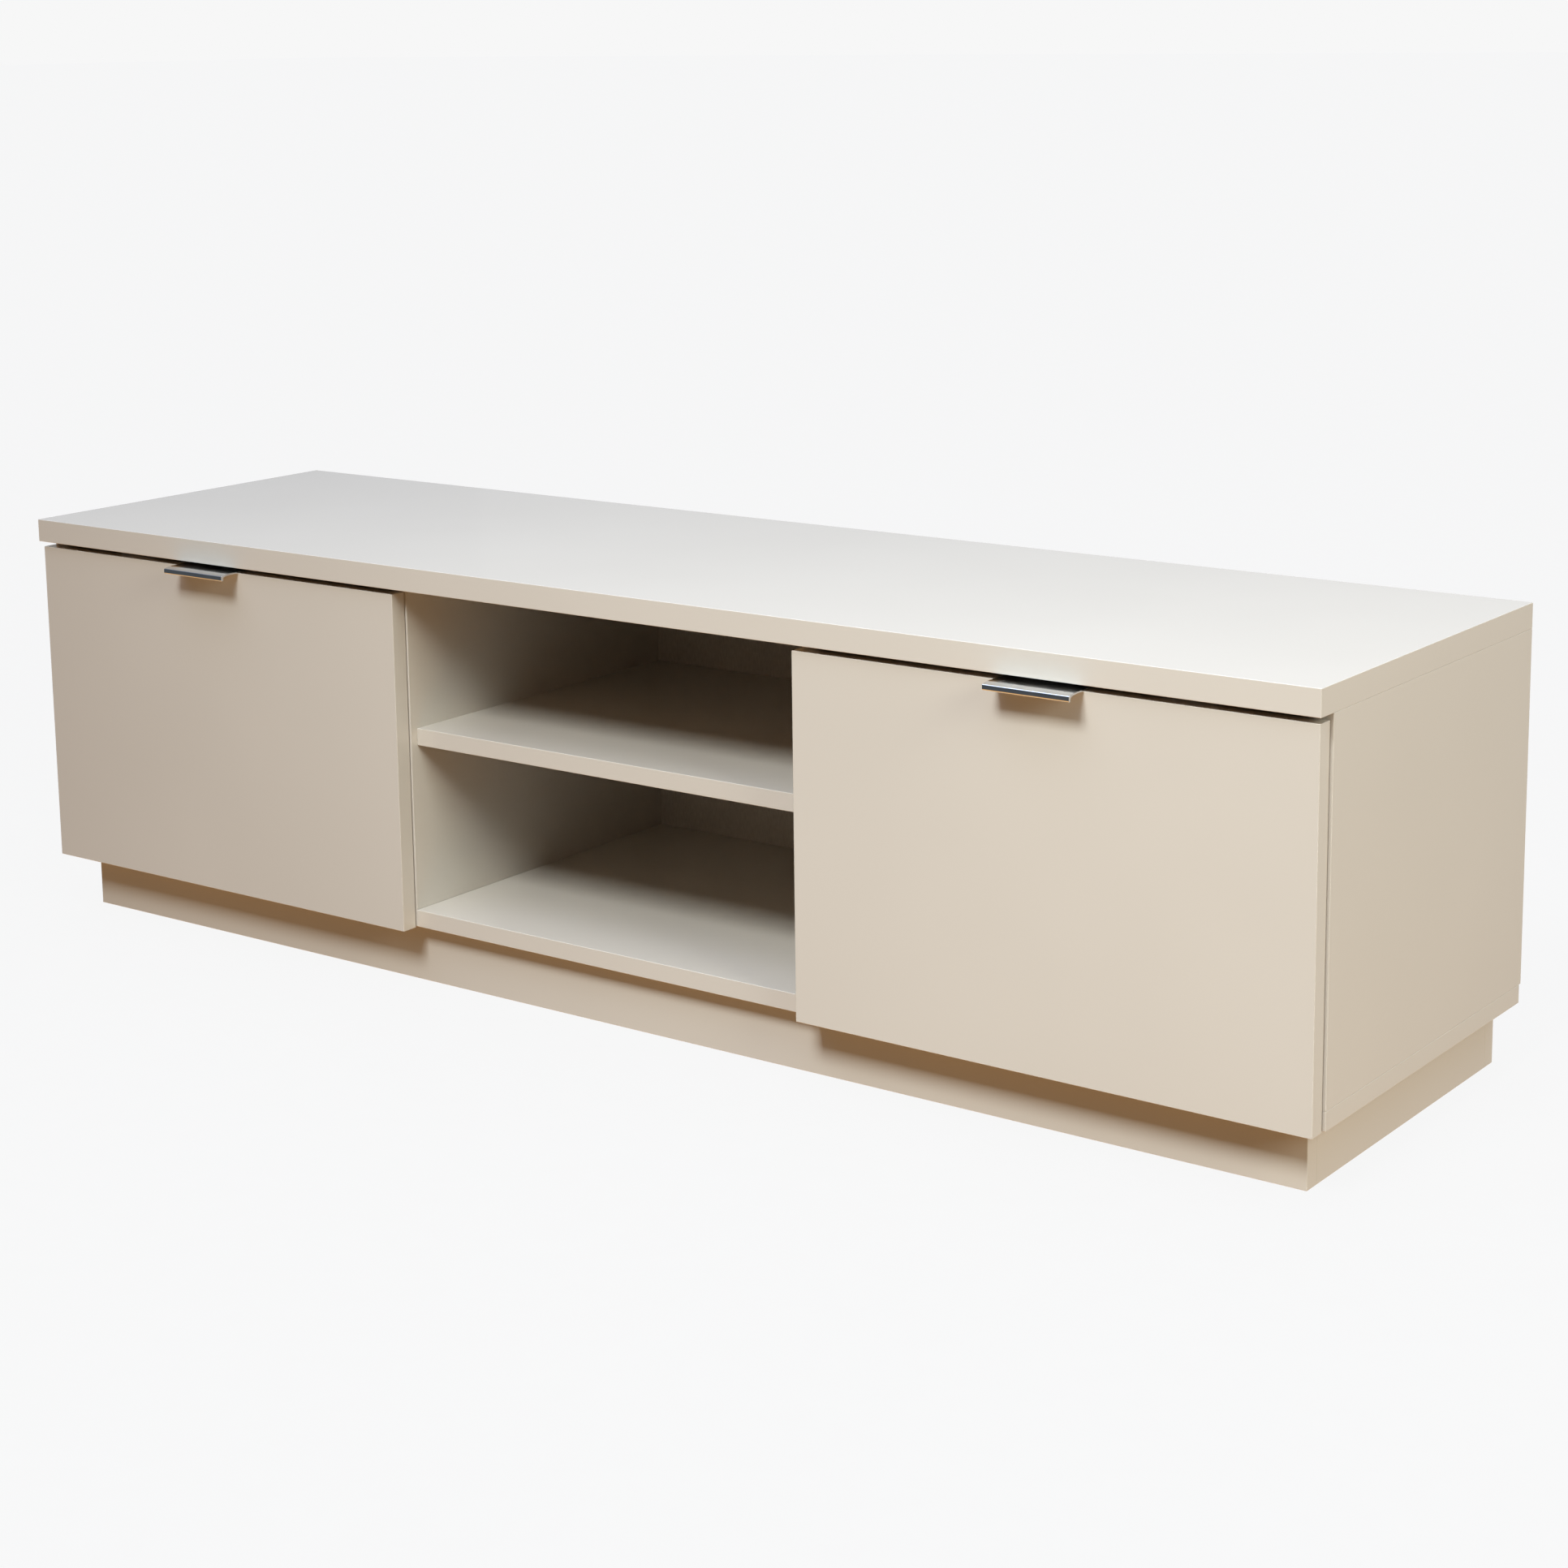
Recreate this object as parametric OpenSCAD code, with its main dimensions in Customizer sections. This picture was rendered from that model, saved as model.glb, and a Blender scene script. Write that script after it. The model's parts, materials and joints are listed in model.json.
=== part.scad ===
// Low media bench: flush slab top, recessed plinth, an open bay in the middle with one shelf,
// and a drop-down flap door on each side.
// +X is to the viewer's right, +Y to the back, +Z up. The origin is on the floor, under the
// middle of the box that holds everything, handles included. "Left" is the -X side.

/* [Overall] */
// Width of the top panel, over both ends
body_w = 1400; // [1200:10:1800]
// Depth of the top panel, front edge to back edge
body_d = 386; // [330:2:480]
// Height from the floor to the upper face of the top
body_h = 400; // [370:2:500]

/* [Boards] */
// Thickness of the top panel
top_t = 22; // [18:1:30]
// Thickness of the carcass boards
board_t = 16; // [16:1:19]
// Thickness of the back panels
back_t = 3; // [3:0.5:5]
// Width of the step in the side panels that holds the back panels
rebate_w = 8; // [6:1:10]
// Gap between two back panels where they meet behind a divider
back_joint = 1; // [0.5:0.5:2]

/* [Plinth] */
// Height of the plinth boards
plinth_h = 57; // [50:1:90]
// How far the plinth's ends stand in from the ends of the carcass
plinth_side_in = 22; // [10:1:60]
// How far the plinth's front stands behind the carcass front
plinth_front_in = 16; // [10:1:60]
// Leg length of the steel angles that hold the plinth to the base
angle_leg = 26; // [20:1:30]
// Width of a steel angle
angle_w = 20; // [16:1:30]
// Thickness of a steel angle
angle_t = 2; // [1.5:0.5:3]

/* [Bays] */
// Clear width of the open bay between the dividers
centre_w = 444; // [360:4:560]
// Height of the underside of the shelves above the floor
shelf_z = 228; // [200:1:260]
// How far the centre shelf stands behind the carcass front
shelf_in = 8; // [4:1:40]
// How far the shelves behind the doors stand behind the carcass front
inner_shelf_in = 60; // [40:1:120]
// Air at each end of a loose shelf
shelf_play = 1; // [0.5:0.5:2]
// Diameter of a shelf pin
shelf_pin_d = 5; // [5:0.5:6]
// How far a shelf pin sticks out of its hole
shelf_pin_out = 8; // [6:1:10]
// Depth of a shelf pin's hole
shelf_pin_in = 8; // [6:1:10]

/* [Doors] */
// Thickness of the doors
door_t = 16; // [16:1:19]
// How far the door faces stand behind the top's front edge
door_set = 4; // [2:0.5:8]
// Gap between the back of a door and the carcass
door_gap = 1; // [1:0.1:2]
// Gap between a door's upper edge and the underside of the top
door_top_gap = 5.5; // [5:0.5:8]
// How far a door reaches below the underside of the base
door_drop = 1; // [0:0.5:3]
// How far a door's outer edge stands in from the end of the carcass
door_side_in = 2.5; // [1:0.5:5]
// How far a door's inner edge stands back from the open bay
door_bay_in = 1.5; // [1:0.5:5]

/* [Handles] */
// Length of a lip handle along the door
handle_w = 78; // [60:1:160]
// How far a lip handle stands out from the door's face
handle_reach = 22; // [16:1:30]
// Thickness of the handle's sheet
handle_t = 1.6; // [1.2:0.1:2.5]
// How far the lip slopes down from the door to its nose
handle_slope = 1.3; // [0:0.1:3]
// Height of the turned-down nose
handle_nose = 5; // [4:0.5:8]
// Height of the flange behind the door
handle_flange = 18; // [14:1:24]
// Distance between a handle's two screws
handle_screw_gap = 48; // [32:2:48]

/* [Hinges] */
// Distance from a door's end to the middle of its nearer hinge
hinge_in = 75; // [60:1:110]
// Diameter of the hinge cup
cup_d = 35; // [35:1:35]
// Depth of the hinge cup in the door
cup_depth = 12; // [11:0.5:12.5]
// Wall of the hinge cup
cup_wall = 1; // [0.8:0.1:1.2]
// Door left between the cup and the door's lower edge
cup_edge = 3.5; // [3:0.5:6]
// Width of the square neck below the cup
neck_w = 24; // [22:1:26]
// Height of the pivot above the door's lower edge
pivot_up = 3; // [2.8:0.1:3]
// Distance of the pivot from the back of the door
pivot_out = 6.5; // [6:0.1:7]
// Diameter of the pivot pin
pivot_d = 2.6; // [2.4:0.1:3]
// Width of the hinge arm
arm_w = 12; // [10:1:14]
// Thickness of the hinge arm
arm_t = 2.4; // [2:0.1:2.6]
// Thickness of the mounting plate under the arm
plate_t = 4; // [3:0.5:5]
// Distance from the carcass front to the middle of the mounting plate
plate_in = 37; // [37:1:37]

/* [Stays] */
// How far a stay's wall point lies below the shelf
stay_below_shelf = 38.8; // [30:0.2:60]
// Air between the end of a shut stay's rod and the back panel
rod_back_air = 10; // [5:1:40]
// Lean of the stay's wall point from upright, seen from the door's pivot
stay_lean = 40; // [36:1:44]
// Distance of the stay's pin from the back of the door
stay_pin_in = 8; // [7:0.5:10]
// Distance from the side panel to the middle of the rod
stay_in = 15.5; // [15:0.5:20]
// Diameter of the rod
rod_d = 4.5; // [4:0.5:5]
// Diameter of the stay's pivots
stay_pin_d = 4; // [4:0.5:5]
// Diameter of the swivelling guide and of its boss
guide_d = 14; // [13:1:16]

/* [Fits] */
// Radial clearance of a pin that turns in its hole
turn_fit = 0.06; // [0.03:0.01:0.1]
// Radial clearance of the rod in its guide
slide_fit = 0.3; // [0.2:0.05:0.4]
// Side clearance between pieces that turn past each other
side_fit = 0.4; // [0.3:0.1:0.6]

/* [Fittings] */
// Diameter of a cam lock
cam_d = 15; // [15:1:15]
// Depth of a cam lock in its board
cam_depth = 12.5; // [12:0.5:13]
// Distance from the board's end to the middle of a cam lock
cam_in = 34; // [24:10:34]
// Diameter of a cam bolt
cam_bolt_d = 6; // [5:1:7]
// Diameter of a dowel
dowel_d = 8; // [6:2:8]
// Length of a dowel
dowel_l = 30; // [24:2:34]
// Distance of the cam locks from the front and back of a board
fitting_in = 50; // [40:5:70]
// Diameter of the wood screws
screw_d = 3.5; // [3:0.5:4]
// Diameter of a wood screw's head
screw_head_d = 7; // [6:0.5:8]
// Height of a wood screw's head
screw_head_h = 1.8; // [1.5:0.1:2.2]

/* [Hidden] */

$fn = 48;
LEFT = -1;
RIGHT = 1;
eps = 0.01;

beige = [0.83, 0.79, 0.72];
pale_back = [0.78, 0.74, 0.67];
bright = [0.86, 0.87, 0.88];
steel = [0.68, 0.69, 0.70];
zinc = [0.58, 0.59, 0.60];
beech = [0.80, 0.66, 0.46];
grey_plastic = [0.75, 0.75, 0.74];

// Depth places. A place "out" of the carcass front has a lower Y.
handle_lead = handle_reach - door_set;
top_front = (handle_lead - body_d - screw_head_h) / 2;
back_y = top_front + body_d;
front_y = top_front + door_set + door_t + door_gap;
back_face = back_y - back_t;
board_d = back_face - front_y;

// Heights
base_z = plinth_h;
floor_z = base_z + board_t;
roof_z = body_h - top_t;
upright_h = roof_z - floor_z;
door_z = base_z - door_drop;
door_top = roof_z - door_top_gap;
door_h = door_top - door_z;

// Widths, on the right-hand side
side_in_x = body_w / 2 - board_t;
bay_x = centre_w / 2;
divider_x = bay_x + board_t;
door_x0 = bay_x + door_bay_in;
door_x1 = body_w / 2 - door_side_in;
door_mid = (door_x0 + door_x1) / 2;
plinth_x = body_w / 2 - plinth_side_in;

// Plinth depth places
plinth_y0 = front_y + plinth_front_in;
plinth_y1 = back_face;
rail_y0 = plinth_y0 + board_t;
rail_y1 = plinth_y1 - board_t;

// Hinge places
door_back = front_y - door_gap;
pivot_y = door_back - pivot_out;
pivot_z = door_z + pivot_up;
cup_z = door_z + cup_edge + cup_d / 2;
hinge_xs = [door_x0 + hinge_in, door_x1 - hinge_in];
arm_z = floor_z + plate_t;
arm_back = plate_in + 19;
arm_bolt_d = 4;
eye_r = pivot_up - side_fit;
flange_t = 0.8;
flange_low = 3;
flange_high = 11;
cup_screw_gap = 48;
cup_screw_up = 4;
plate_screw_gap = 32;
plate_rail_front = 21;
screw_land = 7;
wing_half = 7;
wing_land = 6;

// Stay places. Both ends are the same distance from the door's pivot, so the rod turns through
// half the door's angle and always runs through the guide. That distance is as long as the shelf
// above it and the back panel behind it leave room for.
door_travel = 90;
stop_l = 8;
stop_d = 9;
clip_out = pivot_out + stay_pin_in;
clip_y = pivot_y + clip_out;
rod_tail = guide_d / 2 + side_fit + stop_l;
stay_r_under_shelf = (shelf_z - stay_below_shelf - pivot_z) / cos(stay_lean);
stay_r_in_depth = (back_face - rod_back_air - rod_tail - clip_y) / (2 * sin((stay_lean + door_travel) / 2));
stay_r = min(stay_r_under_shelf, stay_r_in_depth);
clip_z = pivot_z + sqrt(stay_r * stay_r - clip_out * clip_out);
clip_lean = asin(clip_out / stay_r);
wall_y = pivot_y + stay_r * sin(stay_lean);
wall_z = pivot_z + stay_r * cos(stay_lean);
rod_tilt = atan2(wall_z - clip_z, wall_y - clip_y);
rod_open = 2 * stay_r * sin((stay_lean - clip_lean + door_travel) / 2);
eye_d = 10;
eye_t = 5;
rod_x = side_in_x - stay_in;
boss_t = stay_in - guide_d / 2 - side_fit;
plate_thin = 2;
clip_t = 2.5;
clip_leg = 24;
clip_half = 15;
clip_screw_gap = 18;
ear_half = 8;
ear_past = 5;
stay_screw_gap = 34;

// Screw rows
short_screw = 14;
long_screw = 16;
shelf_pin_inset = 40;
catch_off = 120;
catch_size = [46, 14, 13];
catch_air = 0.4;
catch_y = front_y + catch_air;
catch_screw_gap = 32;
screw_seat = 6;
striker_w = 38;
striker_t = 0.6;
pad_d = 8;
pad_t = 0.7;
pad_down = 14;

// A block from its low corner to its high corner
module block(low, high) {
    translate(low) cube(high - low);
}

// A rod along X, starting at a point
module rod_x_at(at, d, h) {
    translate(at) rotate([0, 90, 0]) cylinder(d = d, h = h);
}

// A rod along +Y, starting at a point
module rod_y_at(at, d, h) {
    translate(at) rotate([-90, 0, 0]) cylinder(d = d, h = h);
}

// An outline drawn in Y and Z, carried along X
module along_x(x, w) {
    translate([x, 0, 0]) rotate([90, 0, 90]) linear_extrude(w) children();
}

// A piece drawn on the right, put on the side that is asked for
module on(side) {
    if (side == LEFT) mirror([1, 0, 0]) children();
    else children();
}

// A wood screw whose head sits at the origin and whose shank runs along -Z
module screw(l) {
    cylinder(d = screw_head_d, h = screw_head_h);
    translate([0, 0, -l]) cylinder(d = screw_d, h = l);
}

// The same screw's shank alone, as the hole that it fills
module shank(l) {
    translate([0, 0, -l]) cylinder(d = screw_d, h = l);
}

// ---- where the fittings go ----

// The corners where an upright meets the top and the base: one child per cam position
upright_xs = [side_in_x, divider_x];
fitting_ys = [front_y + fitting_in, back_face - fitting_in];

// Each cam faces the space behind a door
module at_cams() {
    for (side = [LEFT, RIGHT], y = fitting_ys, up = [false, true]) {
        cam_z = up ? roof_z - cam_in : floor_z + cam_in;
        on(side) {
            translate([side_in_x, y, cam_z]) rotate([0, 90, 0]) children();
            translate([divider_x, y, cam_z]) rotate([0, -90, 0]) children();
        }
    }
}

// Each cam bolt stands in the middle of its board and runs from the top or base to its cam
module at_bolts() {
    for (side = [LEFT, RIGHT], x = [side_in_x + board_t / 2, bay_x + board_t / 2], y = fitting_ys) {
        on(side) {
            translate([x, y, floor_z]) children();
            translate([x, y, roof_z]) mirror([0, 0, 1]) children();
        }
    }
}

// Dowels stand beside the cams, and two more carry each end of the centre shelf
dowel_off = 32;
module at_dowels() {
    for (side = [LEFT, RIGHT], x = [side_in_x + board_t / 2, bay_x + board_t / 2]) {
        for (y = [fitting_ys[0] + dowel_off, fitting_ys[1] - dowel_off]) {
            on(side) {
                translate([x, y, floor_z]) children();
                translate([x, y, roof_z]) mirror([0, 0, 1]) children();
            }
        }
    }
}

module at_shelf_dowels() {
    for (side = [LEFT, RIGHT], y = fitting_ys) {
        on(side) translate([bay_x, y, shelf_z + board_t / 2]) rotate([0, 90, 0]) children();
    }
}

bolt_root = 9;
bolt_neck_d = cam_bolt_d - 2.5;
bolt_head = 4;
module cam_bolt() {
    translate([0, 0, -bolt_root]) cylinder(d = cam_bolt_d, h = bolt_root + cam_in - cam_d / 2 - 1);
    translate([0, 0, cam_in - cam_d / 2 - 1]) cylinder(d = bolt_neck_d, h = cam_d / 2 + 1 - bolt_head / 2);
    translate([0, 0, cam_in - bolt_head / 2]) cylinder(d = cam_bolt_d, h = bolt_head);
}

// The hole that a cam bolt passes through in the upright's end
module bolt_way() {
    cylinder(d = cam_bolt_d + 1, h = cam_in + bolt_head / 2 + 0.5);
}

module cam_seat() {
    cylinder(d = cam_d, h = cam_depth);
}

module dowel() {
    translate([0, 0, -dowel_l / 3]) cylinder(d = dowel_d, h = dowel_l);
}

// Two screws of each mounting plate
module at_plate_screws() {
    for (side = [LEFT, RIGHT], hx = hinge_xs, dx = [-0.5, 0.5]) {
        on(side) translate([hx + dx * plate_screw_gap, front_y + plate_in, floor_z + plate_thin]) children();
    }
}

// Two screws of each stay's wall bracket, driven into the side panel
module at_stay_screws() {
    for (side = [LEFT, RIGHT], dy = [-0.5, 0.5]) {
        on(side) translate([side_in_x - plate_thin, wall_y + dy * stay_screw_gap, wall_z])
            rotate([0, -90, 0]) children();
    }
}

// Two screws of each magnetic catch, driven up into the top
module at_catch_screws() {
    for (side = [LEFT, RIGHT], dx = [-0.5, 0.5]) {
        on(side) translate([door_mid + catch_off + dx * catch_screw_gap, catch_y + catch_size[1] / 2, roof_z - screw_seat])
            rotate([180, 0, 0]) children();
    }
}

// One screw through each leg of each plinth angle
angle_xs = [bay_x + 40, plinth_x - 110];
module at_angles() {
    for (side = [LEFT, RIGHT], x = angle_xs) {
        on(side) {
            translate([x, rail_y0, base_z]) children();
            translate([x, rail_y1, base_z]) mirror([0, 1, 0]) children();
        }
    }
}

angle_hole = 16;
module angle_screws() {
    translate([0, angle_hole, -angle_t]) rotate([180, 0, 0]) children();
    translate([0, angle_t, -angle_hole]) rotate([-90, 0, 0]) children();
}

// Screws round the edges of the back panels, driven from behind
back_z0 = base_z + 2;
back_row_z = base_z + board_t / 2;
back_low_xs = [for (i = [-2 : 2]) i * (bay_x / 2 - 8)];
back_side_xs = [for (i = [0 : 3]) divider_x + 60 + i * (side_in_x - divider_x - 120) / 3];
back_up_zs = [for (i = [1 : 3]) floor_z + i * upright_h / 4];
module at_back_screws() {
    for (x = back_low_xs) translate([x, back_y, back_row_z]) rotate([-90, 0, 0]) children();
    for (side = [LEFT, RIGHT]) {
        on(side) {
            for (x = back_side_xs) translate([x, back_y, back_row_z]) rotate([-90, 0, 0]) children();
            for (z = back_up_zs, x = [bay_x + 4, divider_x - 4, side_in_x + rebate_w / 2])
                translate([x, back_y, z]) rotate([-90, 0, 0]) children();
        }
    }
}

// Shelf pins: two at each end of each loose shelf
module at_shelf_pins() {
    for (side = [LEFT, RIGHT]) {
        for (y = [front_y + inner_shelf_in + shelf_pin_inset, back_face - shelf_pin_inset]) {
            on(side) {
                translate([divider_x, y, shelf_z - shelf_pin_d / 2]) rotate([0, 90, 0]) children();
                translate([side_in_x, y, shelf_z - shelf_pin_d / 2]) rotate([0, -90, 0]) children();
            }
        }
    }
}

// ---- carcass ----

module top_panel() {
    color(beige) difference() {
        block([-body_w / 2, top_front, roof_z], [body_w / 2, back_y, body_h]);
        at_bolts() cam_bolt();
        at_dowels() dowel();
        at_catch_screws() shank(long_screw);
    }
}

module base_panel() {
    color(beige) difference() {
        block([-body_w / 2, front_y, base_z], [body_w / 2, back_face, floor_z]);
        at_bolts() cam_bolt();
        at_dowels() dowel();
        at_plate_screws() shank(short_screw);
        at_angles() angle_screws() shank(short_screw);
        at_back_screws() shank(long_screw);
    }
}

// A side panel is as deep as the top, and is stepped at the back for the back panel
module side_panel(side) {
    color(beige) difference() {
        on(side) block([side_in_x, front_y, floor_z], [body_w / 2, back_y, roof_z]);
        on(side) block([side_in_x - eps, back_face, floor_z - eps], [side_in_x + rebate_w, back_y + eps, roof_z + eps]);
        at_cams() cam_seat();
        at_bolts() bolt_way();
        at_dowels() dowel();
        at_stay_screws() shank(short_screw - 2);
        at_back_screws() shank(long_screw);
        at_shelf_pins() shelf_pin();
    }
}

module divider(side) {
    color(beige) difference() {
        on(side) block([bay_x, front_y, floor_z], [divider_x, back_face, roof_z]);
        at_cams() cam_seat();
        at_bolts() bolt_way();
        at_dowels() dowel();
        at_shelf_dowels() shelf_dowel();
        at_back_screws() shank(long_screw);
        at_shelf_pins() shelf_pin();
    }
}

module shelf_dowel() {
    translate([0, 0, -dowel_l * 2 / 3]) cylinder(d = dowel_d, h = dowel_l);
}

module centre_shelf() {
    color(beige) difference() {
        block([-bay_x, front_y + shelf_in, shelf_z], [bay_x, back_face, shelf_z + board_t]);
        at_shelf_dowels() shelf_dowel();
    }
}

module inner_shelf(side) {
    color(beige) on(side)
        block([divider_x + shelf_play, front_y + inner_shelf_in, shelf_z],
              [side_in_x - shelf_play, back_face, shelf_z + board_t]);
}

module shelf_pin() {
    translate([0, 0, -shelf_pin_in]) cylinder(d = shelf_pin_d, h = shelf_pin_in + shelf_pin_out);
}

module shelf_pins() {
    color(zinc) at_shelf_pins() shelf_pin();
}

module back_panel(x0, x1) {
    color(pale_back) difference() {
        block([x0, back_face, back_z0], [x1, back_y, roof_z]);
        at_back_screws() shank(long_screw);
    }
}

back_joint_x = bay_x + board_t / 2;
module back_panel_left() {
    back_panel(-side_in_x - rebate_w, -back_joint_x - back_joint / 2);
}

module back_panel_centre() {
    back_panel(-back_joint_x + back_joint / 2, back_joint_x - back_joint / 2);
}

module back_panel_right() {
    back_panel(back_joint_x + back_joint / 2, side_in_x + rebate_w);
}

module back_screws() {
    color(zinc) at_back_screws() screw(long_screw);
}

// ---- plinth ----

module plinth_front() {
    color(beige) difference() {
        block([-plinth_x, plinth_y0, 0], [plinth_x, rail_y0, plinth_h]);
        at_angles() angle_screws() shank(short_screw);
    }
}

module plinth_back() {
    color(beige) difference() {
        block([-plinth_x, rail_y1, 0], [plinth_x, plinth_y1, plinth_h]);
        at_angles() angle_screws() shank(short_screw);
    }
}

module plinth_end(side) {
    color(beige) on(side) block([plinth_x - board_t, rail_y0, 0], [plinth_x, rail_y1, plinth_h]);
}

module plinth_rails() {
    color(beige) for (side = [LEFT, RIGHT]) {
        on(side) block([bay_x, rail_y0, 0], [divider_x, rail_y1, plinth_h]);
    }
}

module plinth_angles() {
    color(zinc) difference() {
        at_angles() along_x(-angle_w / 2, angle_w) polygon([
            [0, 0], [angle_leg, 0], [angle_leg, -angle_t], [angle_t, -angle_t],
            [angle_t, -angle_leg], [0, -angle_leg]
        ]);
        at_angles() angle_screws() shank(short_screw);
    }
}

module plinth_screws() {
    color(zinc) at_angles() angle_screws() screw(short_screw);
}

// ---- carcass fittings ----

module cam_locks() {
    color(zinc) difference() {
        at_cams() cam_seat();
        at_bolts() bolt_way();
    }
}

module cam_bolts() {
    color(zinc) at_bolts() cam_bolt();
}

module dowels() {
    color(beech) {
        at_dowels() dowel();
        at_shelf_dowels() shelf_dowel();
    }
}

// ---- doors ----

// Round pocket and square neck that the hinge cup fills; a cut passes the door's edge and back by a little
module cup_form(hx, past = 0) {
    rod_y_at([hx, door_back - cup_depth, cup_z], cup_d, cup_depth + past);
    block([hx - neck_w / 2, door_back - cup_depth, door_z - past], [hx + neck_w / 2, door_back + past, cup_z]);
}

// Screws that hold what is on a door, driven from inside the cabinet
module at_cup_screws() {
    for (hx = hinge_xs, dx = [-0.5, 0.5]) {
        translate([hx + dx * cup_screw_gap, door_back + flange_t, cup_z + cup_screw_up])
            rotate([-90, 0, 0]) children();
    }
}

module at_handle_screws() {
    for (dx = [-0.5, 0.5]) {
        translate([door_mid + dx * handle_screw_gap, door_back + handle_t, door_top - handle_flange / 2])
            rotate([-90, 0, 0]) children();
    }
}

clip_x = rod_x - eye_t / 2 - side_fit - clip_t;
module at_clip_screws() {
    for (dz = [-0.5, 0.5]) {
        translate([clip_x - clip_leg / 2, door_back + plate_thin, clip_z + dz * clip_screw_gap])
            rotate([-90, 0, 0]) children();
    }
}

module door(side) {
    color(beige) on(side) difference() {
        block([door_x0, door_back - door_t, door_z], [door_x1, door_back, door_top]);
        for (hx = hinge_xs) cup_form(hx, eps);
        at_cup_screws() shank(short_screw - 2);
        at_handle_screws() shank(short_screw);
        at_clip_screws() shank(short_screw - 2);
    }
}

// Lip handle: a flange behind the door, a plate over its upper edge, and a lip with a turned-down nose
lip_tip = door_back - door_t - handle_reach;
lip_z = door_top + handle_t - handle_slope;
module handle_outline() {
    nose_r = handle_t;
    face = door_back - door_t;
    polygon([
        [door_back, door_top], [door_back, door_top - handle_flange],
        [door_back + handle_t, door_top - handle_flange], [door_back + handle_t, door_top + handle_t],
        [face, door_top + handle_t], [lip_tip + nose_r, lip_z],
        [lip_tip + nose_r, lip_z - handle_t], [face, door_top]
    ]);
    translate([lip_tip + nose_r, lip_z - nose_r]) intersection() {
        circle(r = nose_r);
        translate([-nose_r, 0]) square(nose_r);
    }
    translate([lip_tip, lip_z - handle_nose]) square([handle_t, handle_nose - nose_r]);
}

module handle(side) {
    color(bright) on(side) difference() {
        along_x(door_mid - handle_w / 2, handle_w) handle_outline();
        at_handle_screws() shank(short_screw);
    }
}

module handle_screws(side) {
    color(zinc) on(side) at_handle_screws() screw(short_screw);
}

// ---- flap hinges ----

module hinge_cup(hx) {
    inner_d = cup_d - 2 * cup_wall;
    slot_w = arm_w + 2 * side_fit;
    difference() {
        union() {
            cup_form(hx);
            block([hx - cup_screw_gap / 2 - screw_land, door_back, cup_z - flange_low],
                  [hx + cup_screw_gap / 2 + screw_land, door_back + flange_t, cup_z + flange_high]);
        }
        rod_y_at([hx, door_back - cup_depth + cup_wall, cup_z], inner_d, cup_depth + 1);
        block([hx - slot_w / 2, door_back - cup_depth + cup_wall, door_z - eps], [hx + slot_w / 2, door_back + eps, cup_z]);
        rod_x_at([hx - neck_w / 2 - eps, pivot_y, pivot_z], pivot_d, neck_w + 2 * eps);
    }
}

module hinge_cups(side) {
    color(steel) on(side) difference() {
        for (hx = hinge_xs) hinge_cup(hx);
        at_cup_screws() shank(short_screw - 2);
    }
}

module hinge_pins(side) {
    color(steel) on(side)
        for (hx = hinge_xs) rod_x_at([hx - neck_w / 2, pivot_y, pivot_z], pivot_d, neck_w);
}

module cup_screws(side) {
    color(zinc) on(side) at_cup_screws() screw(short_screw - 2);
}

// The arm lies on its plate, reaches over the base's front edge and drops to the pivot
module hinge_arm(hx) {
    along_x(hx - arm_w / 2, arm_w) difference() {
        union() {
            translate([pivot_y - arm_t / 2, arm_z]) square([arm_back + front_y - pivot_y + arm_t / 2, arm_t]);
            translate([pivot_y - arm_t / 2, pivot_z]) square([arm_t, arm_z + arm_t - pivot_z]);
            translate([pivot_y, pivot_z]) circle(r = eye_r);
        }
        translate([pivot_y, pivot_z]) circle(d = pivot_d + 2 * turn_fit);
    }
}

module hinge_arms() {
    color(steel) for (side = [LEFT, RIGHT]) {
        on(side) for (hx = hinge_xs) {
            hinge_arm(hx);
            translate([hx, front_y + plate_in + 10, arm_z + arm_t]) cylinder(d = arm_bolt_d + 2, h = 2);
        }
    }
}

// Mounting plate: a rail under the arm, and two wings for the screws
module hinge_plate(hx) {
    block([hx - arm_w / 2, front_y + plate_in - plate_rail_front, floor_z], [hx + arm_w / 2, front_y + arm_back, arm_z]);
    block([hx - plate_screw_gap / 2 - wing_land, front_y + plate_in - wing_half, floor_z],
          [hx + plate_screw_gap / 2 + wing_land, front_y + plate_in + wing_half, floor_z + plate_thin]);
}

module hinge_plates() {
    color(steel) difference() {
        for (side = [LEFT, RIGHT]) on(side) for (hx = hinge_xs) hinge_plate(hx);
        at_plate_screws() shank(short_screw);
    }
}

module plate_screws() {
    color(zinc) at_plate_screws() screw(short_screw);
}

// ---- flap stays ----

module stay_bracket() {
    difference() {
        union() {
            block([side_in_x - plate_thin, wall_y - stay_screw_gap / 2 - screw_land, wall_z - guide_d / 2],
                  [side_in_x, wall_y + stay_screw_gap / 2 + screw_land, wall_z + guide_d / 2]);
            rod_x_at([side_in_x - boss_t, wall_y, wall_z], guide_d, boss_t);
        }
        rod_x_at([side_in_x - boss_t - eps, wall_y, wall_z], stay_pin_d + 2 * turn_fit, boss_t + 2 * eps);
    }
}

module stay_brackets() {
    color(steel) difference() {
        for (side = [LEFT, RIGHT]) on(side) stay_bracket();
        at_stay_screws() shank(short_screw - 2);
    }
}

// Puts a piece drawn along +Y at the door end of the rod, along the line of the rod
module on_rod_line() {
    translate([rod_x, clip_y, clip_z]) rotate([rod_tilt, 0, 0]) children();
}

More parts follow.
